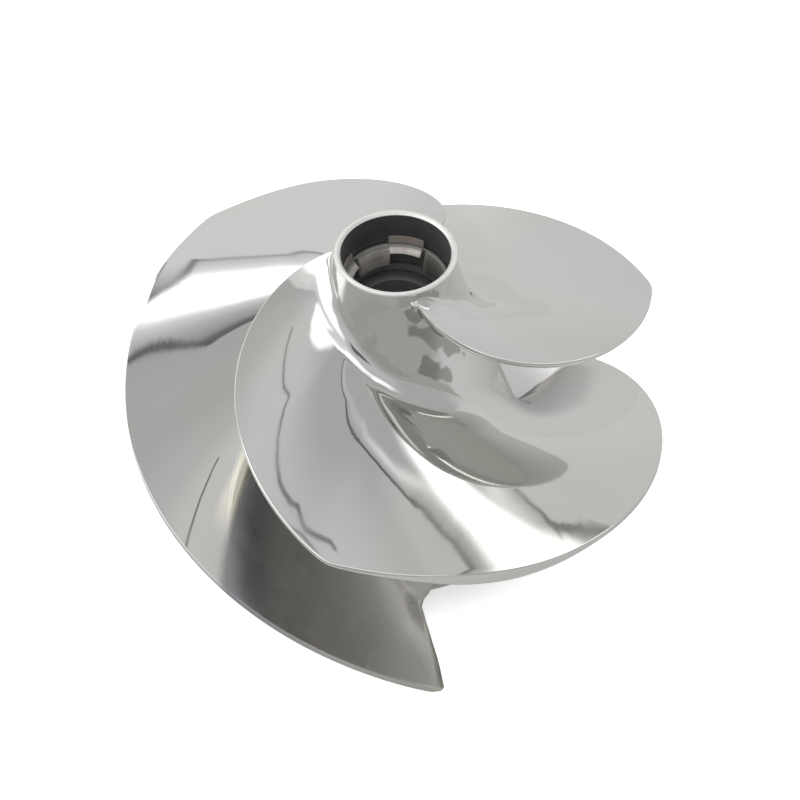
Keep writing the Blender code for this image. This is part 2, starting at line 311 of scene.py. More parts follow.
# ---------------------------------------------------------------- mesh helpers


def smooth_step(x):
    """0 below 0, 1 above 1, and 3x^2 - 2x^3 between."""
    x = np.clip(x, 0.0, 1.0)
    return x * x * (3.0 - 2.0 * x)


def smooth_min(a, b, width):
    """The smaller of two values, rounded where they are closer than the width."""
    share = np.clip(0.5 + 0.5 * (b - a) / width, 0.0, 1.0)
    return b * (1.0 - share) + a * share - width * share * (1.0 - share)


def around(radius, height, angle):
    """Points from radius, height and angle: x = r cos a, y = r sin a, z = h."""
    radius, height, angle = np.broadcast_arrays(radius, height, angle)
    return np.stack([radius * np.cos(angle), radius * np.sin(angle), height], axis=-1)


def grid_faces(rows, columns, close_rows, close_columns):
    """Corner numbers of the quads of a grid, whose last row or column may join the first."""
    i = np.arange(rows if close_rows else rows - 1)[:, None]
    j = np.arange(columns if close_columns else columns - 1)[None, :]
    i_next, j_next = (i + 1) % rows, (j + 1) % columns
    corners = [i * columns + j, i * columns + j_next, i_next * columns + j_next, i_next * columns + j]
    return np.stack(np.broadcast_arrays(*corners), axis=-1).reshape(-1, 4)


def make_mesh(name, points, quads, caps=(), quad_materials=None):
    """A mesh from an array of points, an array of quads and a few longer faces."""
    points = np.asarray(points, np.float32).reshape(-1, 3)
    loops = np.concatenate([quads.ravel(), *caps]).astype(np.int32)
    totals = np.array([4] * len(quads) + [len(cap) for cap in caps], np.int32)
    starts = np.concatenate([[0], np.cumsum(totals)[:-1]]).astype(np.int32)
    mesh = bpy.data.meshes.new(name)
    mesh.vertices.add(len(points))
    mesh.vertices.foreach_set("co", points.ravel())
    mesh.loops.add(len(loops))
    mesh.loops.foreach_set("vertex_index", loops)
    mesh.polygons.add(len(totals))
    mesh.polygons.foreach_set("loop_start", starts)
    mesh.polygons.foreach_set("loop_total", totals)
    if quad_materials is not None:
        mesh.polygons.foreach_set("material_index", quad_materials.astype(np.int32))
    mesh.update(calc_edges=True)
    mesh.validate()
    return mesh


def capped_tube(name, points):
    """Sections one behind the other, each a closed row of points, with a flat face at both ends."""
    rows, columns = points.shape[:2]
    first = np.arange(columns)
    quads = grid_faces(rows, columns, False, True)
    return make_mesh(name, points, quads, caps=[first[::-1], first + (rows - 1) * columns])


def signed_volume(mesh):
    """Volume inside a closed mesh, negative where its faces point inwards."""
    mesh.calc_loop_triangles()
    corners = np.zeros(len(mesh.loop_triangles) * 3, np.int32)
    mesh.loop_triangles.foreach_get("vertices", corners)
    points = np.zeros(len(mesh.vertices) * 3, np.float32)
    mesh.vertices.foreach_get("co", points)
    a, b, c = points.reshape(-1, 3).astype(float)[corners.reshape(-1, 3)].transpose(1, 0, 2)
    return float(np.einsum("ij,ij->i", a, np.cross(b, c)).sum() / 6.0)


def add_piece(name, mesh, materials, nodes, crease=35.0):
    """Puts a mesh into the scene as a piece of the rotor, with its faces outwards."""
    if signed_volume(mesh) < 0.0:
        mesh.flip_normals()
    mesh.shade_smooth()
    mesh.set_sharp_from_angle(angle=radians(crease))
    for material in materials:
        mesh.materials.append(material)
    piece = bpy.data.objects.new(name, mesh)
    bpy.context.scene.collection.objects.link(piece)
    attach(piece, "root")
    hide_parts(*nodes)


def rounded_corner(before, here, after, into, out_of, steps):
    """A quadratic curve round a corner, from one distance before it to another one after it."""
    start = here + (before - here) / np.linalg.norm(before - here) * into
    end = here + (after - here) / np.linalg.norm(after - here) * out_of
    share = np.linspace(0.0, 1.0, steps)[:, None]
    return start * (1 - share) ** 2 + here * 2 * share * (1 - share) + end * share**2


def rounded_outline(corners, spacing):
    """A closed outline through corners (radius, height, rounding, material), and the material of each edge.

    Each corner is rounded, and the straight stretches between are cut into steps of the spacing."""
    places = [np.array(corner[:2]) for corner in corners]
    following = [*range(1, len(corners)), 0]
    arcs = [
        rounded_corner(places[k - 1], places[k], places[after], rounding, rounding, ARC_STEPS if rounding else 1)
        for k, (after, (_, _, rounding, _)) in enumerate(zip(following, corners))
    ]
    points, materials = [], []
    for arc, after, corner in zip(arcs, following, corners):
        leave, reach = arc[-1], arcs[after][0]
        steps = max(int(np.linalg.norm(reach - leave) / spacing), 1)
        along = np.linspace(0.0, 1.0, steps + 1)[1:-1, None]
        points += [arc, leave * (1 - along) + reach * along]
        materials += [corner[3]] * (len(arc) + len(along))
    return np.concatenate(points), np.array(materials)


def turned_mesh(name, corners, spacing, steps, ripple=None):
    """A rounded outline carried round the shaft: a grid of angle by outline point."""
    outline, materials = rounded_outline(corners, spacing)
    angles = np.arange(steps) * 2.0 * pi / steps
    points = around(outline[:, 0], outline[:, 1], angles[:, None])
    if ripple is not None:
        points = ripple(points)
    quads = grid_faces(steps, len(outline), True, True)
    return make_mesh(name, points, quads, quad_materials=np.tile(materials, steps))


# ---------------------------------------------------------------- shape of the casting


def hub_radius(hub, z):
    """Outside radius of the hub: a hyperbola over the distance from the nose, straight there and a cone behind."""
    back = 1.0 - z / hub.height
    rounding = hub.nose_rounding
    flare = (np.hypot(back, rounding) - rounding) / (np.hypot(1.0, rounding) - rounding)
    return hub.nose_radius + (hub.rear_radius - hub.nose_radius) * flare


def edge_radius(blade, angle):
    """Radius of the outer edge: a power of the angle along the leading edge, then the tip radius."""
    reach = (np.maximum(angle, 0.0) / blade.edge_sweep) ** blade.edge_power
    swept = blade.edge_root_radius + (blade.tip_radius - blade.edge_root_radius) * reach
    return smooth_min(swept, blade.tip_radius, blade.edge_blend)


def face_height(blade, corner, angle, radius):
    """Height of the forward face: a helix that steepens at the rear, plus rake towards the root,
    plus the lifted leading edge and the raised corner."""
    share = angle / blade.wrap
    tip = blade.steady_rise * (1.0 - share) + blade.entry_rise * (1.0 - share**blade.rise_power)
    rake = blade.rake_rise / blade.tip_radius * (1.0 - share**blade.rise_power)
    fade = smooth_step((angle - blade.edge_lift_from) / (blade.edge_sweep - blade.edge_lift_from))
    bump = corner * (1.0 - smooth_step(np.abs(angle - blade.corner_at) / blade.corner_reach))
    finish = blade.edge_lift * (1.0 - fade) + bump * (radius / blade.tip_radius) ** 3
    return tip + rake * (blade.tip_radius - radius) + finish


def thickness(hub, blade, angle, radius):
    """Thickness along the shaft: straight from root to rim, thinned within a short way of the leading edge."""
    spot = 1.0 - smooth_step(np.abs(angle - blade.thick_spot_at) / blade.thick_spot_reach)
    rim = blade.tip_thickness + blade.thick_spot * spot
    across = (radius - hub.nose_radius) / (blade.tip_radius - hub.nose_radius)
    full = blade.root_thickness + (rim - blade.root_thickness) * across
    inward = np.maximum(edge_radius(blade, angle) - radius, 0.0)
    taper = 1.0 - inward / (inward + blade.edge_taper)
    on_edge = 1.0 - smooth_step((angle - blade.edge_sweep) / blade.thick_spot_reach)
    return full + (blade.edge_thickness - full) * taper * on_edge


def root_height(hub, height_at, angle):
    """Height at which a blade surface would meet the bare hub, found by halving."""
    low, high = np.full(angle.shape, -hub.height), np.full(angle.shape, 2.0 * hub.height)
    for _ in range(HALVINGS):
        middle = (low + high) / 2.0
        above = height_at(angle, hub_radius(hub, middle)) > middle
        low, high = np.where(above, middle, low), np.where(above, high, middle)
    return middle


def root_fillet(hub, height_at, angle, reach_up, reach_out, side):
    """Blend from the hub to a blade surface: a curve of degree five whose first three control points lie on
    the hub's tangent and whose last three lie on the blade's, so that it has no curvature at either end."""
    small = 1e-5
    foot = root_height(hub, height_at, angle)
    z0 = foot + side * reach_up
    r1 = hub_radius(hub, foot) + reach_out
    start = np.stack([hub_radius(hub, z0), z0], axis=-1)
    end = np.stack([r1, height_at(angle, r1)], axis=-1)
    hub_slope = (hub_radius(hub, z0 + small) - hub_radius(hub, z0 - small)) / (2.0 * small)
    face_slope = (height_at(angle, r1 + small) - height_at(angle, r1 - small)) / (2.0 * small)
    down = np.stack([-side * hub_slope, -side * np.ones_like(z0)], axis=-1)
    inward = np.stack([-np.ones_like(r1), -face_slope], axis=-1)
    down *= reach_up[..., None] / np.linalg.norm(down, axis=-1, keepdims=True) / 3.0
    inward *= reach_out[..., None] / np.linalg.norm(inward, axis=-1, keepdims=True) / 3.0
    controls = [start, start + down, start + 2 * down, end + 2 * inward, end + inward, end]
    s = np.linspace(0.0, 1.0, FILLET_STEPS)
    weights = [times * s**k * (1 - s) ** (5 - k) for k, times in enumerate((1, 5, 10, 10, 5, 1))]
    curve = sum(weight[None, :, None] * point[:, None, :] for weight, point in zip(weights, controls))
    return curve[..., 0], curve[..., 1]


def fillet_reaches(hub, blade, angle, rim, foot):
    """How far the forward fillet reaches up and out, and the rear one out: the forward one grows along the
    blade and shrinks again at the rear, and neither takes more than about half of the blade."""
    room = rim - hub_radius(hub, foot)
    late = smooth_step((angle / blade.wrap - 0.8) / 0.2)
    grown = smooth_step((angle - blade.fillet_from) / (blade.fillet_to - blade.fillet_from))
    upper = blade.start_fillet + (blade.upper_fillet - blade.start_fillet) * grown
    upper = upper + (blade.rear_fillet - blade.upper_fillet) * late
    upper_out = smooth_min(upper, 0.52 * room, SOFT)
    below_lip = np.maximum(hub.height - LIP_STRIP - foot, 0.0004)
    return smooth_min(upper_out, below_lip, SOFT), upper_out, smooth_min(blade.lower_fillet, 0.46 * room, SOFT)


def blade_sections(hub, blade, corner, angle):
    """Radius and height round each section, and how many of its points lie on the forward side.

    A section runs from the hub up the forward fillet, out along the face, round the edge, back along the
    underside, down the rear fillet and, sunk in the hub wall, back to its start."""

    def face(angle, radius):
        return face_height(blade, corner, angle, radius)

    def back(angle, radius):
        return face(angle, radius) - thickness(hub, blade, angle, radius)

    def side(surface, reach_up, reach_out, direction):
        """Up or down a fillet and out along the surface."""
        radius, height = root_fillet(hub, surface, angle, reach_up, reach_out, direction)
        out = radius[:, -1:] + (end - radius[:, -1:]) * np.linspace(0.0, 1.0, FACE_STEPS)[1:]
        return np.hstack([radius, out]), np.hstack([height, surface(angle[:, None], out)])

    past = np.clip((angle - blade.wrap) * blade.tip_radius / TIP_CORNER + 1.0, 0.0, 1.0)
    rim = edge_radius(blade, angle) - 0.0010 * (1.0 - np.sqrt(1.0 - 0.98 * past**2))
    squared = smooth_step((angle - blade.edge_sweep) / blade.thick_spot_reach)
    rounding = blade.leading_round + (blade.rim_round - blade.leading_round) * squared
    rounding = np.minimum(rounding, 0.98 * thickness(hub, blade, angle, rim) / 2.0)[:, None]
    end = rim[:, None] - rounding
    upper_up, upper_out, lower_out = fillet_reaches(hub, blade, angle, rim, root_height(hub, face, angle))
    front_r, front_z = side(face, upper_up, upper_out, 1.0)
    rear_r, rear_z = side(back, lower_out, lower_out, -1.0)
    swing = np.linspace(0.0, pi / 2, NOSE_STEPS)[1:]
    nose_r, nose_drop = end + rounding * np.sin(swing), rounding * (1.0 - np.cos(swing))
    nose_up, nose_down = front_z[:, -1:] - nose_drop, rear_z[:, -1:] + nose_drop
    sunk_z = rear_z[:, :1] + (front_z[:, :1] - rear_z[:, :1]) * np.linspace(0.0, 1.0, SUNK_STEPS)
    sunk_r = hub_radius(hub, np.maximum(sunk_z, 0.0)) - blade.sunk
    radius = np.hstack([front_r, nose_r, nose_r[:, ::-1], rear_r[:, ::-1], sunk_r])
    height = np.hstack([front_z, nose_up, nose_down[:, ::-1], rear_z[:, ::-1], sunk_z])
    return radius, height, front_r.shape[1] + nose_r.shape[1]


def polish_waves(blade, number, x, y):
    """Low waves left by hand polishing: four long sine waves that cross, with phases of the blade's own."""
    shift = 1.7 * number
    return blade.wave_height * sum(
        share * np.sin(along_x * x + along_y * y + phase * shift) for share, along_x, along_y, phase in POLISH_WAVES
    )


def trailing_wave(radius):
    """How far the trailing edge runs past the radial line, wavy as ground by hand: ahead at the tip,
    behind halfway in, and ahead again in a round corner where it meets the hub."""
    outer = 0.00045 - 0.00105 * smooth_step((0.0710 - radius) / 0.0170)
    outer = outer - 0.0007 * smooth_step((0.0570 - radius) / 0.0060)
    return outer + 0.0040 * smooth_step((0.0488 - radius) / 0.0050)


def blade_points(hub, blade, number, corner):
    """Grid of a blade's points, station along the helix by place round the section, and where each point lies from
    the slanting line up to which a polishing wheel reaches, which sets the duller polish and the painted shade behind
    it: 0 is 10 degrees before it, and 1 is 50 degrees behind it. Ahead of the helix a few sections grow out of the
    hub along a quarter circle."""
    lead = -START_TURN * np.cos(np.linspace(0.02, 1.0, 10) * pi / 2)[:-1]
    ease = np.linspace(0.0, 1.0, blade.stations)
    closer = 1.0 - 0.35 * smooth_step((ease - 0.85) / 0.15) * (1.0 - ease)
    angles = np.concatenate([lead, blade.wrap * ease * closer])
    radius, height, forward = blade_sections(hub, blade, corner, np.maximum(angles, 0.0))
    wall = hub_radius(hub, np.maximum(height, 0.0))
    grown = np.sqrt(np.clip(1.0 - (np.minimum(angles, 0.0) / START_TURN) ** 2, 0.0, 1.0))[:, None]
    base = wall - blade.sunk
    radius = base + (radius - base) * grown
    angles = angles[:, None]
    turns = angles + blade.first + number * BLADE_APART
    waves = polish_waves(blade, number, radius * np.cos(turns), radius * np.sin(turns))
    height = height + smooth_step((radius - wall) / 0.012) * waves
    height = np.maximum(height, np.where(np.arange(height.shape[1]) < forward, blade.rear_lip, 0.0))
    ending = smooth_step((angles - blade.wrap) / END_TURN + 1.0)
    turns = turns + ending * trailing_wave(radius) / radius
    line = blade.dull_from + radius / blade.tip_radius * blade.dull_slant
    # the duller polish and its painted shade start later on the third blade
    behind = angles - line - (blade.last_delay if number == 2 else 0.0)
    return around(radius, height, turns), np.clip((behind + radians(10.0)) / radians(60.0), 0.0, 1.0)


# ---------------------------------------------------------------- shape of the bore fittings


def ring_outline(ring, top, kind):
    """Outline of the drive ring's section as (radius, height), always with the same number of points.

    A lug falls steeply from its top to a small ledge, slopes down to its inner edge and is undercut below.
    A tooth curves down from the ledge until it is upright at its inner radius. Between them only the band is left."""
    outer, band, edge, foot = ring.outer_radius, ring.band_radius, ring.edge_round, ring.foot_depth
    high = ring.ledge_depth
    if kind == "lug":
        inner, high, lower = ring.lug_radius, ring.top_depth, ring.ledge_depth + LUG_DROP
        run, fall = outer - inner, ring.ledge_depth - high
        shape = [
            (outer - 0.06 * run, high),
            (outer - 0.27 * run, high + 1.05 * fall),
            (outer - 0.34 * run, high + 1.05 * fall + ring.step_height),
            (inner + 0.38 * run, high + 1.40 * fall),
            (inner, lower + ring.lug_face * 0.76),
            (inner + 0.20 * run, lower + ring.lug_face * 0.90),
            (band - 0.0001, lower + ring.lug_face),
            (band, foot),
        ]
    elif kind == "tooth":
        inner, run = ring.tooth_radius, outer - ring.tooth_radius
        shape = [(inner + across * run, high + down * (foot - high)) for across, down in TOOTH]
    else:
        shape = [(band + across, high + down * (foot - high)) for across, down in BAND]
    corners = [np.array((radius, top - depth)) for radius, depth in [(outer, foot), (outer, high), *shape]]
    points = []
    for before, here, after in zip(corners[-1:] + corners, corners, corners[1:] + corners[:1]):
        into, out_of = (min(edge, 0.45 * np.linalg.norm(other - here)) for other in (before, after))
        points.append(rounded_corner(before, here, after, into, out_of, 4))
    return np.concatenate(points)


def ring_points(ring, top):
    """Grid of the ring's points, angle by place round the section: the outlines of lug, tooth and bare band
    are mixed point by point, and the mix turns from one to the next within a small angle at each border."""
    outlines = {kind: ring_outline(ring, top, kind) for kind in ("lug", "tooth", "band")}
    quarter = 2.0 * pi / ring.lugs
    blend = ring.side_blend
    borders = np.array([0.0, ring.lug_span, ring.lug_span + ring.tooth_span, quarter])
    local = [
        np.linspace(start + blend / 2, stop - blend / 2, max(int((stop - start) / radians(1.1)), 2))
        for start, stop in zip(borders, borders[1:])
    ]
    local += [border + blend * np.array([-0.3, -0.12, 0.12, 0.3]) for border in borders[:-1]]
    local = np.unique(np.concatenate(local) % quarter)

    def inside(start, stop):
        """1 between two borders and 0 outside, with the smooth step at both."""
        near = (local - start + quarter / 2) % quarter - quarter / 2
        far = (local - stop + quarter / 2) % quarter - quarter / 2
        rising, falling = smooth_step(near / blend + 0.5), 1.0 - smooth_step(far / blend + 0.5)
        middle = (local - start) % quarter < (stop - start)
        share = np.where(np.abs(near) < blend / 2, rising, np.where(np.abs(far) < blend / 2, falling, middle))
        return share[:, None, None]

    band = outlines["band"]
    lug = inside(borders[0], borders[1]) * (outlines["lug"] - band)
    tooth = inside(borders[1], borders[2]) * (outlines["tooth"] - band)
    whole = np.concatenate([band + lug + tooth] * ring.lugs)
    turns = np.concatenate([local + ring.first + k * quarter for k in range(ring.lugs)])
    return around(whole[..., 0], whole[..., 1], turns[:, None])


def threaded(sleeve):
    """Cuts the shaft thread: inside the bore a point moves out by the depth times a triangle wave of
    height over pitch less angle over a full turn, faded over one pitch at both ends."""

    def cut(points):
        x, y, height = np.moveaxis(points, -1, 0)
        radius = np.hypot(x, y)
        wave = 1.0 - np.abs(2.0 * ((height / sleeve.thread_pitch - np.arctan2(y, x) / (2.0 * pi)) % 1.0) - 1.0)
        reach = smooth_step((height - sleeve.thread_rear) / sleeve.thread_pitch)
        reach = reach * smooth_step((sleeve.thread_front - height) / sleeve.thread_pitch)
        on_bore = np.abs(radius - sleeve.bore_radius) < 1e-6
        depth = np.where(on_bore, sleeve.thread_depth * reach * np.clip(1.25 * wave - 0.1, 0.0, 1.0), 0.0)
        grown = 1.0 + depth / radius
        return points * np.stack([grown, grown, np.ones_like(grown)], axis=-1)

    return cut


def web_points(hub, sleeve, turned_by):
    """Grid of a web's points, height by place round its level section.

    Half the width across is half the thickness plus a round fillet towards the sleeve and one towards the
    hub wall. At the rear and front edges the section shrinks along a half circle."""
    rows, across = 44, 40
    share = (1.0 - np.cos(np.linspace(0.0, pi, rows))) / 2.0
    height = (sleeve.web_rear + (sleeve.web_front - sleeve.web_rear) * share)[:, None]
    inner = sleeve.outer_radius - 0.0004
    outer = hub_radius(hub, height) - hub.wall + 0.0006
    radius = inner + (outer - inner) * ((1.0 - np.cos(np.linspace(0.0, pi, across))) / 2.0)
    fillet = sleeve.web_fillet

    def growth(distance):
        near = np.clip(1.0 - distance / fillet, 0.0, 1.0)
        return fillet * (1.0 - np.sqrt(1.0 - near**2)) * 0.8

    half = sleeve.web_thickness / 2.0 + growth(radius - inner) + growth(outer - radius)
    from_end = np.minimum(height - sleeve.web_rear, sleeve.web_front - height) / (sleeve.web_thickness / 2.0)
    half = half * np.sqrt(np.clip(1.0 - (1.0 - np.clip(from_end, 0.02, 1.0)) ** 2, 0.0, 1.0))
    x, y = np.hstack([radius, radius[:, ::-1]]), np.hstack([half, -half[:, ::-1]])
    z = np.broadcast_to(height, x.shape)
    return np.stack([x * cos(turned_by) - y * sin(turned_by), x * sin(turned_by) + y * cos(turned_by), z], axis=-1)


# ---------------------------------------------------------------- formulas in nodes


def put(tree, socket, value):
    """Joins a wire to a socket, or sets the socket's own value, a colour from its three parts."""
    if isinstance(value, Wire):
        tree.links.new(value.socket, socket)
    else:
        socket.default_value = (*value, 1.0) if socket.type == "RGBA" else value


def fill(tree, node, inputs):
    """Puts wires or values into the numbered or named inputs of a node."""
    for socket, value in inputs.items():
        put(tree, node.inputs[socket], value)


class Wire:
    """A socket of a node tree that can be reckoned with: each sum, product or function is a node."""

    def __init__(self, tree, socket):
        self.tree, self.socket = tree, socket

    def through(self, kind, inputs, output=0, **settings):
        """One output of a new node in the same tree, with its settings and its filled inputs."""
        node = self.tree.nodes.new(kind)
        for name, setting in settings.items():
            setattr(node, name, setting)
        fill(self.tree, node, inputs)
        return Wire(self.tree, node.outputs[output])

    def math(self, operation, *others):
        return self.through("ShaderNodeMath", dict(enumerate((self, *others))), operation=operation)

    def __add__(self, other):
        return self.math("ADD", other)

    def __sub__(self, other):
        return self.math("SUBTRACT", other)

    def __mul__(self, other):
        return self.math("MULTIPLY", other)

    def __truediv__(self, other):
        return self.math("DIVIDE", other)

    def step(self, start, stop, low=0.0, high=1.0):
        """A smooth step from low at start to high at stop."""
        if start > stop:
            start, stop, low, high = stop, start, high, low
        inputs = dict(enumerate((self, start, stop, low, high)))
        return self.through("ShaderNodeMapRange", inputs, interpolation_type="SMOOTHSTEP")

    def mix(self, other, share):
        """This value where the share is 0, and the other where it is 1."""
        return self.through("ShaderNodeMix", {0: share, 2: self, 3: other})

    def tint(self, first, second):
        """The first colour where this value is 0, and the second where it is 1."""
        return self.through("ShaderNodeMix", {0: self, 6: first, 7: second}, 2, data_type="RGBA")

    def along(self, stops, lift=0.0):
        """A value read off straight lines between stops of (place, value), which may go down to minus the lift."""
        low, high, most = stops[0][0], stops[-1][0], max(value for _, value in stops) + lift
        ramp = self.through("ShaderNodeValToRGB", {0: (self - low) / (high - low)})
        elements = ramp.socket.node.color_ramp.elements
        elements.remove(elements[1])
        for number, (place, value) in enumerate(stops):
            place, grey = (place - low) / (high - low), (value + lift) / most
            stop = elements.new(place) if number else elements[0]
            stop.position, stop.color = place, (grey, grey, grey, 1.0)
        return ramp * most - lift


def coordinates(tree, kind):
    """The three wires of one kind of texture coordinates."""
    source = Wire(tree, tree.nodes.new("ShaderNodeTexCoord").outputs[kind])
    parts = source.through("ShaderNodeSeparateXYZ", {0: source}).socket.node
    return [Wire(tree, part) for part in parts.outputs]


# ---------------------------------------------------------------- light of the studio


def left_of(x, y, start, stop):
    """Distance to the left of the line from start to stop."""
    across, along = stop[1] - start[1], stop[0] - start[0]
    size = float(np.hypot(across, along))
    return x * (-across / size) + y * (along / size) + (across * start[0] - along * start[1]) / size


def near_line(x, y, start, stop):
    """Distance to the stretch between start and stop."""
    run, rise = stop[0] - start[0], stop[1] - start[1]
    share = ((x - start[0]) * run + (y - start[1]) * rise) / (run * run + rise * rise)
    share = share.math("MAXIMUM", 0.0).math("MINIMUM", 1.0)
    across, along = x - start[0] - share * run, y - start[1] - share * rise
    return (across * across + along * along).math("SQRT")


def ceiling_light(x, y):
    """Dim ceiling, brighter at the back, with a wide softbox in front and a dark patch far behind that."""
    light = x.math("ABSOLUTE").step(0.10, 0.47, 0.69, 0.50)
    light = light * (x.step(0.02, -0.13) * x.step(-0.42, -0.24) * -0.17 + 1.0)
    light = light * (x.step(0.26, 0.44) * y.step(0.30, 0.46) * 0.30 + 1.0)
    back = x.step(-0.7, 0.3, 0.93, 0.69) * x.step(-0.65, -0.35, 0.86, 1.0)
    light = light.mix(back, y.step(0.60, 0.90))
    into = x.along(FRONT_EDGE, 0.6) - y
    front = x.along(FRONT_NEAR).mix(x.along(FRONT_FAR), into.step(0.10, 0.24))
    light = light.mix(front, into.step(-0.01, 0.05) * x.step(1.0, 0.75))
    light = light.mix(x.step(0.3, 1.2, 0.62, 0.50), y.step(-0.72, -1.05))
    patch = x.step(-0.42, -0.30) * x.step(0.16, 0.04) * y.step(-1.20, -1.34) * y.step(-2.6, -2.2)
    return light.mix(0.16, patch)


def left_panel(x, y):
    """Brightness of the softbox at the left, with a dark seam along its edge, and 1 where it is."""
    side = left_of(x, y, (-0.4795, 0.21), (-0.6045, 0.95))
    panel = y.along(LEFT_PANEL).mix(0.14, side.step(0.009, 0.002))
    return panel, side.step(-0.006, -0.002) * y.step(0.186, 0.196) * y.step(0.945, 0.935)


def right_panel(x, y):
    """Brightness of the softbox at the right, which has a bright core and a bright line beside its dark, bent
    seam, and 1 where it is."""

    def left(start, stop):
        return left_of(x, y, start, stop)

    corner = left((0.461, 0.262), (0.70, 0.10)).math("MAXIMUM", left((0.70, 0.10), (0.77, -0.15)))
    side = left((0.487, 0.465), (0.461, 0.262)).math("MINIMUM", left((0.93, 1.13), (0.487, 0.462)))
    folded = left((0.866, 1.047), (0.915, 1.19)).math("MINIMUM", y - 0.90).math("MINIMUM", x - 0.78)
    side = side.math("MINIMUM", corner).math("MAXIMUM", folded.math("MINIMUM", y * -1.0 + 1.27))
    core = x.step(0.62, 0.77) * y.step(0.46, 0.70) * y.step(1.03, 0.86) * 1.7
    line = (((side - 0.055) / 0.024).math("POWER", 2.0) * -1.0).math("EXPONENT")
    panel = core + line * y.step(0.20, 0.42, 0.25, 1.0) * 0.40 + y.step(0.85, 1.05, 0.50, 0.58)
    panel = panel.mix(y.step(0.40, 0.58, 0.13, 0.28), side.step(0.015, 0.003))
    here = side.step(-0.006, -0.002) * y.step(-0.45, -0.30) * x.step(0.28, 0.32) * x.step(2.2, 1.8) * y.step(2.6, 2.0)
    return panel, here


def studio_light(tree):
    """Brightness of the studio in each direction.

    x/z and y/z of the direction are the place where it meets a level ceiling, so there the straight edge of a
    softbox is a straight line, and each softbox is a few distances to lines, with a dark seam along its edge."""
    east, north, up = coordinates(tree, "Generated")
    x, y = east / up.math("MAXIMUM", 0.001), north / up.math("MAXIMUM", 0.001)
    light = ceiling_light(x, y)
    for panel, here in (left_panel(x, y), right_panel(x, y)):
        light = light.mix(panel, here)
    for start, stop in zip(CABLE, CABLE[1:]):
        light = light.mix(0.21, near_line(x, y, start, stop).step(0.0065, 0.002))
    low = north.step(-0.6, 0.4, 0.50, 0.72)
    return low.mix(light, up.step(0.10, 0.35))


# ---------------------------------------------------------------- effects that the metals share


class Place:
    """Where a point of a piece is, as wires: x, y, z and the radius from the shaft."""

    def __init__(self, tree):
        self.x, self.y, self.z = coordinates(tree, "Object")

    @cached_property
    def radius(self):
        return (self.x * self.x + self.y * self.y).math("SQRT").math("MAXIMUM", 0.0001)

    def noise_at(self, x, y, z, detail, rough):
        """Noise of size one at a place given by three wires or numbers."""
        place = self.x.through("ShaderNodeCombineXYZ", {0: x, 1: y, 2: z})
        inputs = {"Vector": place, "Scale": 1.0, "Detail": detail, "Roughness": rough}
        return place.through("ShaderNodeTexNoise", inputs, "Fac")

    def noise(self, scale, detail=2.0, rough=0.5):
        """Noise with about as many lumps per metre as the scale says."""
        return self.noise_at(self.x * scale, self.y * scale, self.z * scale, detail, rough)


def effect(outputs, **inputs):
    """Makes a function a node group with named sockets, built once: it turns the wires that go in into those
    that come out. Calling it places the group in a material with its own values, and gives its outputs."""

    def wrap(build):
        def made():
            group = bpy.data.node_groups.new(build.__name__, "ShaderNodeTree")
            for name, default in inputs.items():
                socket = group.interface.new_socket(name=words(name), in_out="INPUT", socket_type="NodeSocketFloat")
                socket.default_value = default
            for name in outputs:
                group.interface.new_socket(name=name, in_out="OUTPUT", socket_type="NodeSocketFloat")
            entry, leave = group.nodes.new("NodeGroupInput"), group.nodes.new("NodeGroupOutput")
            results = build(Place(group), *(Wire(group, entry.outputs[k]) for k in range(len(inputs))))
            fill(group, leave, dict(zip(outputs, results)))
            return group

        def placed(tree, **values):
            node = tree.nodes.new("ShaderNodeGroup")
            node.node_tree = bpy.data.node_groups.get(build.__name__) or made()
            fill(tree, node, {words(name): value for name, value in values.items()})
            return [Wire(tree, node.outputs[name]) for name in outputs]

        return placed

    return wrap


@effect(("Height", "Smudges", "Patches"), dimple_size=0.006, dimple_height=0.00001, hairline_height=0.000001)
def hand_polish(at, dimple_size, dimple_height, hairline_height):
    """Marks of hand polishing: shallow dimples that bend a mirrored line, and hairlines round the shaft."""
    x, y, z = at.x, at.y, at.z
    dimples = at.noise_at(x / dimple_size, y / dimple_size, z / dimple_size, 1.6, 0.45) - 0.5
    fine = at.radius * 2300.0 + z * 700.0
    hairlines = at.noise_at(x / at.radius * 4.0, y / at.radius * 4.0, fine, 1.0, 0.6) - 0.5
    patches = at.noise(17.0, 1.0).step(0.40, 0.62)
    dimples = dimples * dimple_height * (patches * 0.7 + 0.45) * at.radius.step(0.064, 0.076, 1.0, 0.35)
    return dimples + hairlines * hairline_height, at.noise(46.0, 2.0, 0.6).step(0.35, 0.68), patches


@effect(("Height", "Grooves", "Spots"), pitch=0.0003, depth=0.00001)
def tool_marks(at, pitch, depth):
    """Grooves of a turning tool: rings round the shaft, uneven in width and depth, and dull spots on them."""
    across = (at.radius * 0.8 + at.z) / pitch
    wobble = at.noise(120.0) * 0.8
    grooves = at.noise_at(wobble, 0.0, across + wobble, 3.0, 0.65)
    return (grooves - 0.5) * depth, grooves.step(0.38, 0.62), at.noise(900.0, 3.0, 0.6).step(0.45, 0.70)


@effect(("Stain", "Flecks"), size=0.02)
def stains(at, size):
    """Large uneven stains and small dark flecks, as oil and handling leave them."""
    x, y, z = at.x / size, at.y / size, at.z / size
    broad = at.noise_at(x, y, z, 4.0, 0.55)
    flecks = at.noise_at(x * 7.0, y * 7.0, z * 7.0, 2.0, 0.5)
    return broad.step(0.36, 0.66), flecks.step(0.62, 0.74)


# ---------------------------------------------------------------- metals


def new_material(name, build):
    """A material whose shader's inputs are what the function makes of its tree."""
    material = bpy.data.materials.new(name)
    material.use_nodes = True
    tree = material.node_tree
    fill(tree, tree.nodes["Principled BSDF"], build(tree))
    return material


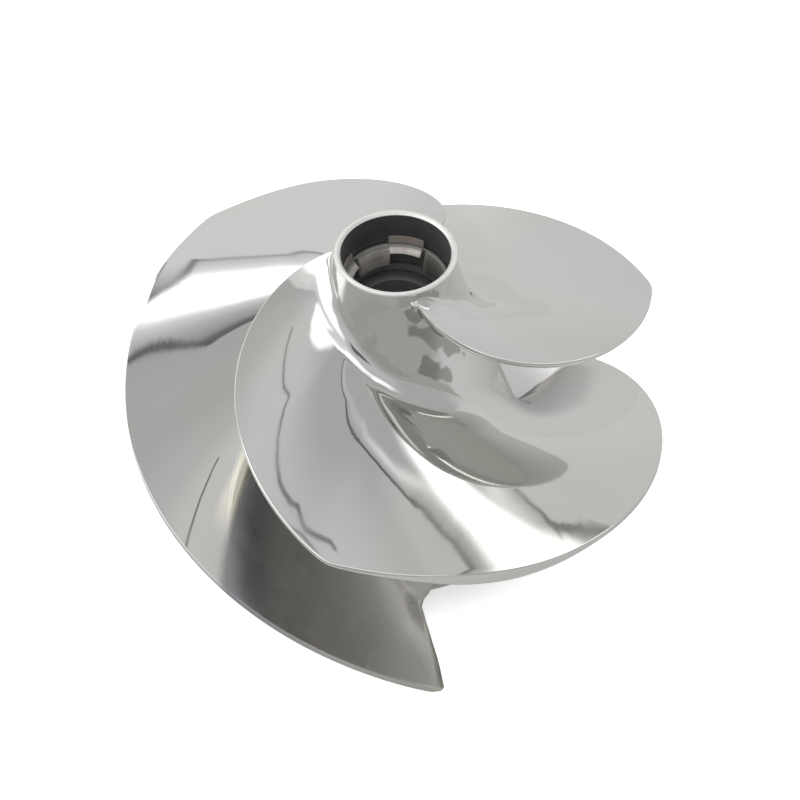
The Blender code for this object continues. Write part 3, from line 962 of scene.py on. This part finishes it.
def metal(build):
    """Makes a function a metal, made once: it gives colour, roughness and height from the material's tree,
    and the metallic share where oil or oxide lies on the metal."""

    def made(*values):
        def shade(tree):
            tone, roughness, height, *bare = build(tree, *values)
            normal = height.through("ShaderNodeBump", {"Distance": 1.0, "Height": height}, "Normal")
            metallic = bare[0] if bare else 1.0
            return {"Base Color": tone, "Roughness": roughness, "Metallic": metallic, "Normal": normal}

        return bpy.data.materials.get(build.__name__) or new_material(build.__name__, shade)

    return made


def shaded_nooks(turned_by, z):
    """Distance to three oval nooks of painted shade below a leading edge, 1 at their borders, the same for each of
    three blades.
    """
    nearest = None
    for place, height, reach, half_height, fall in NOOKS:
        along = turned_by.math("WRAP", place + pi / 3.0, place - pi / 3.0) - place
        up = (z - height + along * fall) / half_height
        along = along / reach
        distance = (along * along + up * up).math("SQRT")
        nearest = nearest.math("MINIMUM", distance) if nearest else distance
    return nearest


@metal
def polished_casting(tree, finishes, first):
    """Mirror-polished steel: bright, a little warmer in patches, with painted shade in the nooks below the nose and a
    painted cream highlight, and duller, with painted shade that darkens it, where the next blade lies close above and
    a polishing wheel can't reach."""
    at = Place(tree)
    x, y, z, radius = at.x, at.y, at.z, at.radius
    height, smudges, patches = hand_polish(
        tree, dimple_size=0.0062, dimple_height=finishes.dimples, hairline_height=0.0000005
    )
    ground = at.noise(105.0, 1.0, 0.45) - 0.5
    height = height + ground * finishes.ground * z.step(0.046, 0.070) * radius.step(0.032, 0.021)
    reached = tree.nodes.new("ShaderNodeAttribute")
    reached.attribute_name = "dull_and_shaded"
    behind = Wire(tree, reached.outputs["Fac"])
    # duller polish behind the slanting line; the same mask also carries the painted shade below
    dull = behind.step(0.163, 0.215)
    # painted highlight: a cream sheen along the border of the duller steel
    sheen = behind.step(0.085, 0.135) * radius.step(0.042, 0.046) * radius.step(0.070, 0.060)
    # painted shade in the nooks below each leading edge, with a ragged border
    nooks = (at.noise_at(x * 240.0, y * 240.0, z * 170.0, 1.0, 0.5) - 0.5) * 2.6
    nooks = nooks + shaded_nooks(y.math("ARCTAN2", x) - first, z)
    nooks = nooks.step(1.20, 0.84) * radius.step(0.0270, 0.0235)
    clean = sheen.tint(patches.tint(finishes.polished, finishes.polished_warm), finishes.painted_cream_highlight)
    clean = (nooks * 0.82).tint(clean, finishes.skin)
    # painted shade: the steel behind the polished part is darkened, darkest just behind it
    tone = dull.tint(clean, behind.step(0.25, 0.76).tint(finishes.polished_painted_shade, finishes.polished_dull_shaded))
    roughness = (smudges * 0.035 + nooks * 0.10 + 0.018) + dull * (smudges * 0.06 + finishes.dull_roughness)
    return tone, roughness, height


@metal
def turned_lip(tree, finishes):
    """Bright turned steel of the nose lip and the rear register, with dull spots along its grooves."""
    height, grooves, spots = tool_marks(tree, pitch=0.00022, depth=0.000012)
    return (grooves * 0.09 + spots * 0.08).tint(finishes.lip, finishes.turned), grooves * 0.12 + 0.50, height


@metal
def dark_bore(tree, finishes):
    """Wall of the nose bore, darkened with painted shade, smooth along its grooves, with lighter rubbed places, and
    painted black shade below.
    """
    height, grooves, spots = tool_marks(tree, pitch=0.0004, depth=0.000008)
    stain, flecks = stains(tree, size=0.012)
    z = Place(tree).z
    # painted shade: the wall's dark tones stand in for the shade inside the bore
    wall = (grooves * 0.25 + stain * 0.45).tint(finishes.bore, finishes.bore_rubbed)
    # painted black shade on the faces below the drive ring
    painted_shade_tone = z.step(0.0762, 0.0766).tint(finishes.deep, finishes.soot)
    tone = z.step(0.0775, 0.0790).tint(painted_shade_tone, wall)
    return tone, spots * 0.10 + flecks * 0.10 + 0.48, height, z.step(0.0775, 0.0790, 0.3, 1.0)


@metal
def milled_ring(tree, finishes, top):
    """Drive ring: grey steel with rings of tool marks, brown on the lugs' steep slopes, bright along their inner
    edges, and nearly black with painted shade on one side and on the band hidden below the lugs."""
    height, grooves, spots = tool_marks(tree, pitch=0.0006, depth=0.000025)
    stain, flecks = stains(tree, size=0.006)
    at = Place(tree)
    z, radius = at.z, at.radius
    tone = (grooves * 0.5 + spots * 0.2).tint(finishes.ring, finishes.ring_bright)
    tone = (stain * 0.5).tint(tone, finishes.ring_brown)
    steep = z.step(top - 0.0106, top - 0.0102) * radius.step(0.0134, 0.0137)
    tone = (steep * 0.65).tint(tone, finishes.ring_brown)
    tone = (radius.step(0.01198, 0.01190) * 0.8).tint(tone, finishes.lip)
    # painted shade: one side of the ring, and the band hidden below the lugs
    shaded = (at.x + at.y * -0.25).step(0.0035, 0.0068)
    hidden = radius.step(0.0128, 0.0134) * z.step(top - 0.0098, top - 0.0103)
    tone = (shaded * 0.93).math("MAXIMUM", hidden * 0.9).tint(tone, finishes.ring_shaded)
    return tone, stain * 0.12 + flecks * 0.12 + 0.42, height, 0.6


@metal
def turned_bore(tree, finishes):
    """Turned and threaded inside of the shaft sleeve, bright at the rear and darkened with painted black shade
    towards the nose.
    """
    at = Place(tree)
    height, grooves, spots = tool_marks(tree, pitch=0.0005, depth=0.000015)
    bright = (grooves * 0.4).tint(finishes.turned, finishes.lip)
    # painted black shade towards the nose; oil says where it lies
    painted_shade_tone = at.radius.step(0.0105, 0.0108).tint(finishes.deep, finishes.soot)
    oil = at.z.step(0.050, 0.066)
    return oil.tint(bright, painted_shade_tone), spots * 0.15 + oil * 0.25 + 0.28, height, at.z.step(0.050, 0.064, 1.0, 0.3)


@metal
def cast_inside(tree, finishes):
    """As-cast inside: sandy grain, scale and stains, with painted black shade towards the nose."""
    at = Place(tree)
    stain, flecks = stains(tree, size=0.018)
    sand, lumps = at.noise(1400.0, 4.0, 0.6), at.noise(260.0)
    unshaded_tone = (stain * 0.7 + flecks * 0.3).tint(finishes.blasted, finishes.scale)
    # painted black shade towards the nose
    tone = at.z.step(0.064, 0.071).tint(unshaded_tone, finishes.soot)
    return tone, sand * 0.25 + 0.50, sand * 0.00011 + lumps * 0.00016, at.z.step(0.064, 0.071, 1.0, 0.3)


# ---------------------------------------------------------------- operators


class IMPELLER_OT_hub(bpy.types.Operator):
    """Builds the hollow flared hub with its nose bore, shelf, cavity and rear register"""

    bl_idname = "impeller.hub"
    bl_label = "Hub"

    def execute(self, context):
        scene = context.scene
        hub, finishes = scene.impeller_hub, scene.impeller_finishes
        metals = [polished_casting(finishes, scene.impeller_blade.first), turned_lip(finishes)]
        metals += [cast_inside(finishes), dark_bore(finishes)]
        polished, turned, cast, dark = range(4)
        top, bore, shelf, seat = hub.height, hub.bore_radius, hub.shelf_radius, hub.register_depth
        shelf_top = top - hub.shelf_depth
        shelf_foot = shelf_top - hub.shelf_thickness
        register = hub.rear_radius - hub.register_wall
        cavity_z = np.linspace(shelf_foot, seat, 30)
        outside_z = np.linspace(0.0, top - LIP_STRIP, 130)
        corners = [
            (hub.nose_radius, top, hub.lip_rounding, turned),
            (bore + hub.lip_chamfer, top, 0.0001, turned),
            (bore, top - hub.lip_chamfer, 0.0001, dark),
            (bore, shelf_top, 0.0002, dark),
            (shelf, shelf_top, 0.0002, dark),
            (shelf, shelf_foot, 0.0002, cast),
            *((hub_radius(hub, z) - hub.wall, z, 0.0, cast) for z in cavity_z[:-1]),
            (hub_radius(hub, seat) - hub.wall, seat, 0.0, turned),
            (register, seat, 0.0002, turned),
            (register, 0.0, 0.0003, turned),
            (hub.rear_radius, 0.0, 0.0003, polished),
            *((hub_radius(hub, z), z, 0.0, polished) for z in outside_z[1:]),
        ]
        mesh = turned_mesh("hub", corners, 0.0024, hub.steps)
        add_piece("hub", mesh, metals, ["hub_shell"])
        return {"FINISHED"}


class IMPELLER_OT_blades(bpy.types.Operator):
    """Builds the three long blades"""

    bl_idname = "impeller.blades"
    bl_label = "Blades"

    def execute(self, context):
        scene = context.scene
        blade = scene.impeller_blade
        metals = [polished_casting(scene.impeller_finishes, blade.first)]
        for number, (node, corner) in enumerate(zip(BLADE_NODES, CORNER_RAISE)):
            points, dull_and_shaded = blade_points(scene.impeller_hub, blade, number, corner)
            mesh = capped_tube(node, points)
            # where each point lies behind the polished part, for the duller polish and the painted shade
            dull = mesh.attributes.new("dull_and_shaded", "FLOAT", "POINT")
            dull.data.foreach_set("value", dull_and_shaded.astype(np.float32).ravel())
            add_piece(f"{node}_polished", mesh, metals, [node])
        return {"FINISHED"}


class IMPELLER_OT_ring(bpy.types.Operator):
    """Builds the castellated drive ring in the nose bore"""

    bl_idname = "impeller.ring"
    bl_label = "Drive ring"

    def execute(self, context):
        scene = context.scene
        top = scene.impeller_hub.height
        points = ring_points(scene.impeller_ring, top)
        mesh = make_mesh("ring", points, grid_faces(*points.shape[:2], True, True))
        steel = milled_ring(scene.impeller_finishes, top)
        add_piece("castellated_ring", mesh, [steel], ["drive_ring"], crease=28.0)
        return {"FINISHED"}


class IMPELLER_OT_sleeve(bpy.types.Operator):
    """Builds the threaded shaft sleeve and the webs that hold it"""

    bl_idname = "impeller.sleeve"
    bl_label = "Shaft sleeve"

    def execute(self, context):
        scene = context.scene
        hub, sleeve, finishes = scene.impeller_hub, scene.impeller_sleeve, scene.impeller_finishes
        turned_steel, cast_steel = turned_bore(finishes), cast_inside(finishes)
        bore, edge, rear, tiny = sleeve.bore_radius, sleeve.chamfer, sleeve.rear, 0.00012
        front = hub.height - hub.shelf_depth - hub.shelf_thickness - sleeve.front_gap
        steps = int((front - rear - 2.0 * edge) / (sleeve.thread_pitch / 8.0))
        corners = [
            (sleeve.outer_radius, rear, 0.0004, 0),
            (sleeve.outer_radius, front, tiny, 1),
            (bore + edge, front, tiny, 0),
            *((bore, z, 0.0, 0) for z in np.linspace(front - edge, rear + edge, steps + 1)),
            (bore + edge, rear, tiny, 0),
        ]
        mesh = turned_mesh("sleeve", corners, 0.0015, sleeve.steps, ripple=threaded(sleeve))
        add_piece("threaded_sleeve", mesh, [turned_steel, cast_steel], ["shaft_sleeve"])
        for number, node in enumerate(WEB_NODES):
            mesh = capped_tube(f"web_{number + 1}", web_points(hub, sleeve, number * 2.0 * pi / len(WEB_NODES)))
            add_piece(f"cast_web_{number + 1}", mesh, [cast_steel], [node])
        return {"FINISHED"}


def seen_directly(tree):
    """1 for what the camera sees itself, and 0 for what lights the rotor or is mirrored in it."""
    return Wire(tree, tree.nodes.new("ShaderNodeLightPath").outputs["Is Camera Ray"])


def floor_paint(studio):
    """Pale floor: matt, darker in front of the rotor as a painted shadow, and as bright as the backdrop where the
    camera sees it, so that only shadows show.
    """

    def shade(tree):
        at = Place(tree)
        brighter = [min(part * 1.03, 1.0) for part in studio.floor_colour]
        paint = at.x.through("ShaderNodeTexNoise", {"Scale": 90.0}, "Fac").tint(studio.floor_colour, brighter)
        lift = at.radius.step(0.056, 0.080, 0.17, studio.floor_lift)
        lift = lift.mix(at.radius.step(0.035, 0.070, 0.30, studio.floor_lift), at.y.step(0.005, -0.020))
        return {
            # painted shadow: the floor is darker in front of the rotor
            "Base Color": at.y.step(-0.11, -0.19).tint(paint, studio.floor_painted_shadow),
            "Roughness": 0.9,
            "Specular IOR Level": 0.0,
            "Emission Color": (1.0, 1.0, 1.0),
            "Emission Strength": seen_directly(tree) * lift,
        }

    return new_material("pale_floor", shade)


class IMPELLER_OT_studio(bpy.types.Operator):
    """Makes the floor, the lights and the camera"""

    bl_idname = "impeller.studio"
    bl_label = "Studio"

    def execute(self, context):
        scene, studio = context.scene, context.scene.impeller_studio
        camera = bpy.data.cameras.new("camera")
        camera.lens, camera.sensor_width = studio.lens, 36.0
        camera.shift_x, camera.shift_y = studio.shift_x, studio.shift_y
        camera.clip_start, camera.clip_end = 0.02, 20.0
        eye = bpy.data.objects.new("camera", camera)
        scene.collection.objects.link(eye)
        scene.camera = eye
        back = Vector((0.0, -cos(studio.elevation), sin(studio.elevation)))
        place = Matrix.Translation(Vector((0.0, 0.0, studio.target_height)) + back * studio.distance)
        turned = (-back).to_track_quat("-Z", "Y").to_matrix().to_4x4()
        eye.matrix_world = place @ turned @ Matrix.Rotation(studio.roll, 4, "Z")
        world = bpy.data.worlds.new("studio")
        world.use_nodes = True
        tree = world.node_tree
        backdrop = tree.nodes["Background"]
        backdrop.inputs["Color"].default_value = (1.0, 1.0, 1.0, 1.0)
        put(tree, backdrop.inputs["Strength"], studio_light(tree).mix(1.0, seen_directly(tree)))
        world.cycles.sampling_method = "NONE"
        scene.world = world
        scene.view_settings.view_transform = "Standard"
        corners = [(-6, -6, 0), (6, -6, 0), (6, 6, 0), (-6, 6, 0)]
        mesh = make_mesh("floor", corners, np.array([[0, 1, 2, 3]]))
        mesh.materials.append(floor_paint(studio))
        floor = bpy.data.objects.new("floor", mesh)
        scene.collection.objects.link(floor)
        return {"FINISHED"}


class IMPELLER_PT_panel(bpy.types.Panel):
    """Lists the pieces of the impeller"""

    bl_idname = "IMPELLER_PT_panel"
    bl_label = "Pump impeller"
    bl_space_type = "VIEW_3D"
    bl_region_type = "UI"
    bl_category = "Impeller"

    def draw(self, context):
        for operator in STEPS:
            self.layout.operator(operator.bl_idname)


STEPS = (IMPELLER_OT_studio, IMPELLER_OT_hub, IMPELLER_OT_blades, IMPELLER_OT_ring, IMPELLER_OT_sleeve)
GROUPS = {
    "impeller_hub": HubSizes,
    "impeller_blade": BladeSizes,
    "impeller_ring": RingSizes,
    "impeller_sleeve": SleeveSizes,
    "impeller_finishes": Finishes,
    "impeller_studio": StudioSizes,
}


def register():
    for kind in (*GROUPS.values(), *STEPS, IMPELLER_PT_panel):
        bpy.utils.register_class(kind)
    for name, kind in GROUPS.items():
        setattr(bpy.types.Scene, name, PointerProperty(type=kind))


def unregister():
    for name in GROUPS:
        delattr(bpy.types.Scene, name)
    for kind in (IMPELLER_PT_panel, *reversed(STEPS), *reversed(GROUPS.values())):
        bpy.utils.unregister_class(kind)


def main():
    register()
    for step in STEPS:
        area, name = step.bl_idname.split(".")
        getattr(getattr(bpy.ops, area), name)()


if __name__ == "__main__":
    main()
